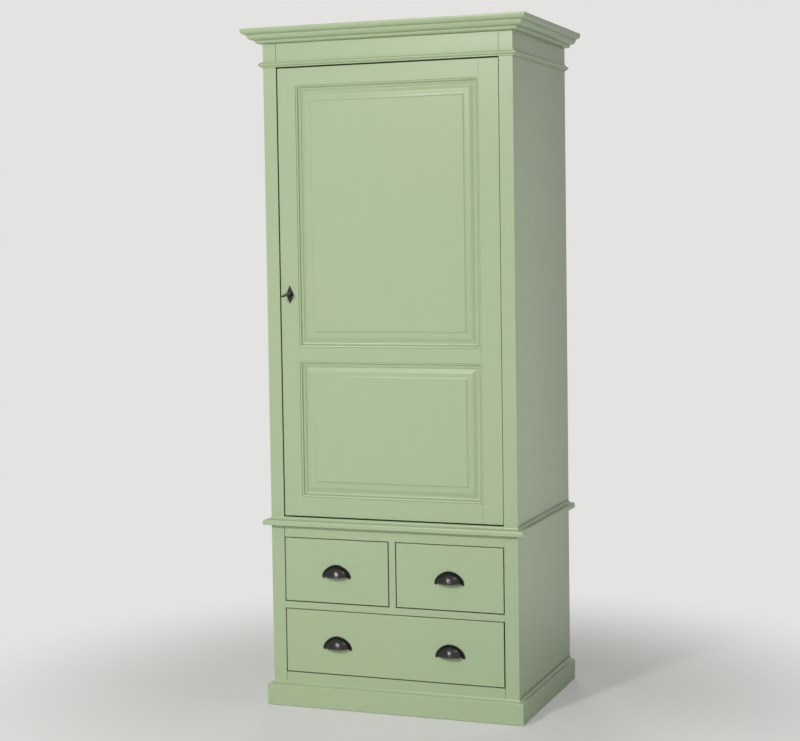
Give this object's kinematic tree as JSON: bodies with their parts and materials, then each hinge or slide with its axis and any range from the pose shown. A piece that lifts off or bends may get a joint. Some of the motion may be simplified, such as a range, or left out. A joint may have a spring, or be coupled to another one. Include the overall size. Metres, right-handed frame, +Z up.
{
  "type": "chifforobe",
  "caption": "Free-standing painted chifforobe: tall raised-panel door with a keyed lock above small drawers and a wide drawer with cup pulls, under a stepped cornice and on a plinth",
  "frame": {"origin": "on the floor, under the middle of the outline seen from above, cornice included", "axes": "+X to the right seen from the front, +Y from the front to the back, +Z up"},
  "size_m": [0.865, 0.6, 2.005],
  "materials": {
    "painted_wood": "brushed sage green satin paint on solid wood",
    "bare_pine": "planed softwood, clear lacquer",
    "thin_board": "plywood with a pale face",
    "dark_iron": "dark bronzed iron, semi-gloss",
    "steel": "zinc-plated steel",
    "brass": "plain brass"
  },
  "bodies": {
    "carcase": {"side_panel_left": "painted_wood", "side_panel_right": "painted_wood", "face_stile_left": "painted_wood", "face_stile_right": "painted_wood", "frieze_rail": "painted_wood", "waist_rail": "painted_wood", "bottom_rail": "painted_wood", "drawer_divider": "painted_wood", "drawer_partition": "painted_wood", "top_board": "painted_wood", "wardrobe_floor": "painted_wood", "bottom_board": "bare_pine", "drawer_guide_left": "bare_pine", "drawer_guide_right": "bare_pine", "back_panel": "thin_board", "hat_shelf": "painted_wood", "door_stop": "painted_wood", "hanging_rail": "steel", "rail_socket_left": "steel", "rail_socket_right": "steel", "cornice_front": "painted_wood", "cornice_left": "painted_wood", "cornice_right": "painted_wood", "beading_front": "painted_wood", "beading_left": "painted_wood", "beading_right": "painted_wood", "waist_moulding_front": "painted_wood", "waist_moulding_left": "painted_wood", "waist_moulding_right": "painted_wood", "plinth_front": "painted_wood", "plinth_left": "painted_wood", "plinth_right": "painted_wood"},
    "door": {"door_stile_lock": "painted_wood", "door_stile_hinge": "painted_wood", "door_top_rail": "painted_wood", "door_middle_rail": "painted_wood", "door_bottom_rail": "painted_wood", "door_upper_panel": "painted_wood", "door_lower_panel": "painted_wood", "upper_panel_moulding": "painted_wood", "lower_panel_moulding": "painted_wood", "hinge_pin_top": "steel", "hinge_pin_bottom": "steel", "escutcheon": "dark_iron", "lock_case": "steel"},
    "door_key": {"key": "dark_iron"},
    "bolt": {"lock_bolt": "brass"},
    "drawer_upper_left": {"drawer_upper_left_front": "painted_wood", "drawer_upper_left_box": "bare_pine", "drawer_upper_left_bottom": "thin_board", "cup_pull_upper_left": "dark_iron"},
    "drawer_upper_right": {"drawer_upper_right_front": "painted_wood", "drawer_upper_right_box": "bare_pine", "drawer_upper_right_bottom": "thin_board", "cup_pull_upper_right": "dark_iron"},
    "drawer_lower": {"drawer_lower_front": "painted_wood", "drawer_lower_box": "bare_pine", "drawer_lower_bottom": "thin_board", "cup_pull_lower_left": "dark_iron", "cup_pull_lower_right": "dark_iron"}
  },
  "joints": [
    {"name": "door_hinge", "type": "hinge", "parent": "carcase", "child": "door", "pos_m": [0.324, -0.244, 1.23], "axis": [0, 0, 1], "range_deg": [0, 110]},
    {"name": "key_turn", "type": "hinge", "parent": "door", "child": "door_key", "pos_m": [-0.309, -0.25, 1.227], "axis": [0, -1, 0], "range_deg": [-115, 155]},
    {"name": "bolt_throw", "type": "slide", "parent": "door", "child": "bolt", "axis": [-1, 0, 0], "range_m": [-0.006, 0.008]},
    {"name": "upper_left_drawer_slide", "type": "slide", "parent": "carcase", "child": "drawer_upper_left", "axis": [0, -1, 0], "range_m": [0, 0.38]},
    {"name": "upper_right_drawer_slide", "type": "slide", "parent": "carcase", "child": "drawer_upper_right", "axis": [0, -1, 0], "range_m": [0, 0.38]},
    {"name": "lower_drawer_slide", "type": "slide", "parent": "carcase", "child": "drawer_lower", "axis": [0, -1, 0], "range_m": [0, 0.38]}
  ],
  "couplings": [
    {"joint": "bolt_throw", "follows": "key_turn", "m_per_rad": 0.0028648}
  ]
}
